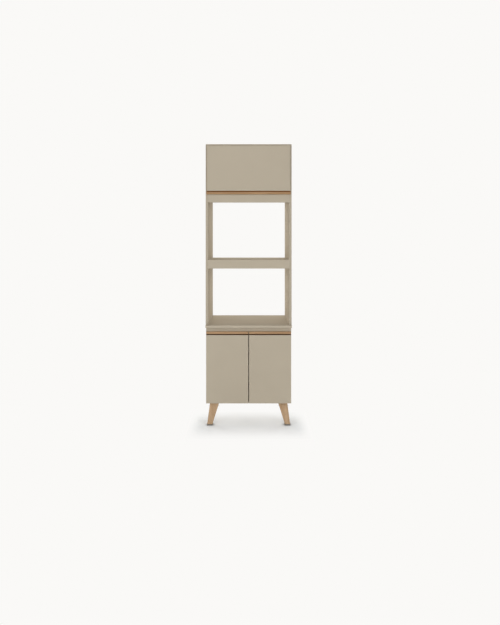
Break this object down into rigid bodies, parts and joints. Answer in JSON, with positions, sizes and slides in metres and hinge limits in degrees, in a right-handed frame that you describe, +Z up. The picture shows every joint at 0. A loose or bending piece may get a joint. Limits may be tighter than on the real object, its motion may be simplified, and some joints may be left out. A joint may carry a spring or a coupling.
{
  "type": "kitchen tower cabinet",
  "caption": "Tall free-standing kitchen cabinet on splayed legs: base cupboard with hinged doors, counter, open appliance niches and a top cupboard with a lift-up flap.",
  "frame": {"origin": "on the floor, under the middle of the whole cabinet's box", "axes": "+Z up, +X to the right seen from the front, +Y to the back; the doors face -Y"},
  "size_m": [0.65, 0.505, 2.13],
  "materials": {
    "lacquered_board": "matte lacquer in a warm greige",
    "back_board": "thin hardboard, lacquered",
    "handle_wood": "oiled mid-brown wood",
    "leg_wood": "oiled light wood",
    "dowel_wood": "plain beech",
    "foot_pad": "dark pad",
    "bumper": "soft clear stop",
    "cap": "matte cap in the board's colour",
    "hinge_steel": "nickel-plated",
    "screw_steel": "zinc-plated",
    "lift_plastic": "light grey",
    "spring_steel": "dark spring steel"
  },
  "bodies": {
    "case": {"left_tower_side": "lacquered_board", "right_tower_side": "lacquered_board", "tower_top": "lacquered_board", "upper_cupboard_floor": "lacquered_board", "upper_front_rail": "lacquered_board", "upper_back_panel": "back_board", "middle_shelf": "lacquered_board", "middle_front_rail": "lacquered_board", "counter_top": "lacquered_board", "left_base_side": "lacquered_board", "right_base_side": "lacquered_board", "base_floor": "lacquered_board", "base_front_rail": "lacquered_board", "base_rear_rail": "lacquered_board", "base_back_panel": "back_board", "inner_shelf": "lacquered_board", "shelf_pins": "screw_steel", "front_left_leg": "leg_wood", "front_right_leg": "leg_wood", "rear_left_leg": "leg_wood", "rear_right_leg": "leg_wood", "foot_pads": "foot_pad", "leg_screws": "screw_steel", "carcass_screws": "screw_steel", "screw_caps": "cap", "rail_dowels": "dowel_wood", "counter_dowels": "dowel_wood", "counter_screws": "screw_steel", "back_panel_nails": "screw_steel", "fitting_screws": "screw_steel", "hinge_arms": "hinge_steel", "hinge_plates": "hinge_steel", "wall_brackets": "hinge_steel", "lift_housings": "lift_plastic", "lift_covers": "lift_plastic", "lift_springs": "spring_steel"},
    "flap": {"flap_panel": "lacquered_board", "flap_handle": "handle_wood", "flap_hinge_cups": "hinge_steel", "flap_hinge_pins": "hinge_steel", "flap_screws": "screw_steel", "flap_bumpers": "bumper", "flap_lift_brackets": "hinge_steel"},
    "left_door": {"left_door": "lacquered_board", "left_door_handle": "handle_wood", "left_door_hinge_cups": "hinge_steel", "left_door_hinge_pins": "hinge_steel", "left_door_screws": "screw_steel", "left_door_bumpers": "bumper"},
    "left_lift_arm": {"left_lift_arm": "hinge_steel"},
    "left_lift_link": {"left_lift_link": "hinge_steel"},
    "right_door": {"right_door": "lacquered_board", "right_door_handle": "handle_wood", "right_door_hinge_cups": "hinge_steel", "right_door_hinge_pins": "hinge_steel", "right_door_screws": "screw_steel", "right_door_bumpers": "bumper"},
    "right_lift_arm": {"right_lift_arm": "hinge_steel"},
    "right_lift_link": {"right_lift_link": "hinge_steel"}
  },
  "joints": [
    {"name": "left_door_hinge", "type": "hinge", "parent": "case", "child": "left_door", "pos_m": [-0.3125, -0.241, 0.432], "axis": [0, 0, -1], "range_deg": [0, 100]},
    {"name": "right_door_hinge", "type": "hinge", "parent": "case", "child": "right_door", "pos_m": [0.3125, -0.241, 0.432], "axis": [0, 0, 1], "range_deg": [0, 100]},
    {"name": "flap_hinge", "type": "hinge", "parent": "case", "child": "flap", "pos_m": [0, -0.241, 2.1065], "axis": [-1, 0, 0], "range_deg": [0, 90]},
    {"name": "left_lift_arm_pivot", "type": "hinge", "parent": "case", "child": "left_lift_arm", "pos_m": [-0.284, -0.131, 2.0615], "axis": [-1, 0, 0], "range_deg": [0, 90]},
    {"name": "left_lift_link_pivot", "type": "hinge", "parent": "left_lift_arm", "child": "left_lift_link", "pos_m": [-0.284, -0.1085, 1.9415], "axis": [-1, 0, 0], "range_deg": [-90, 0]},
    {"name": "right_lift_arm_pivot", "type": "hinge", "parent": "case", "child": "right_lift_arm", "pos_m": [0.284, -0.131, 2.0615], "axis": [-1, 0, 0], "range_deg": [0, 90]},
    {"name": "right_lift_link_pivot", "type": "hinge", "parent": "right_lift_arm", "child": "right_lift_link", "pos_m": [0.284, -0.1085, 1.9415], "axis": [-1, 0, 0], "range_deg": [-90, 0]}
  ],
  "couplings": [
    {"joint": "left_lift_arm_pivot", "follows": "flap_hinge", "ratio": 1},
    {"joint": "left_lift_link_pivot", "follows": "flap_hinge", "ratio": -1},
    {"joint": "right_lift_arm_pivot", "follows": "flap_hinge", "ratio": 1},
    {"joint": "right_lift_link_pivot", "follows": "flap_hinge", "ratio": -1}
  ]
}
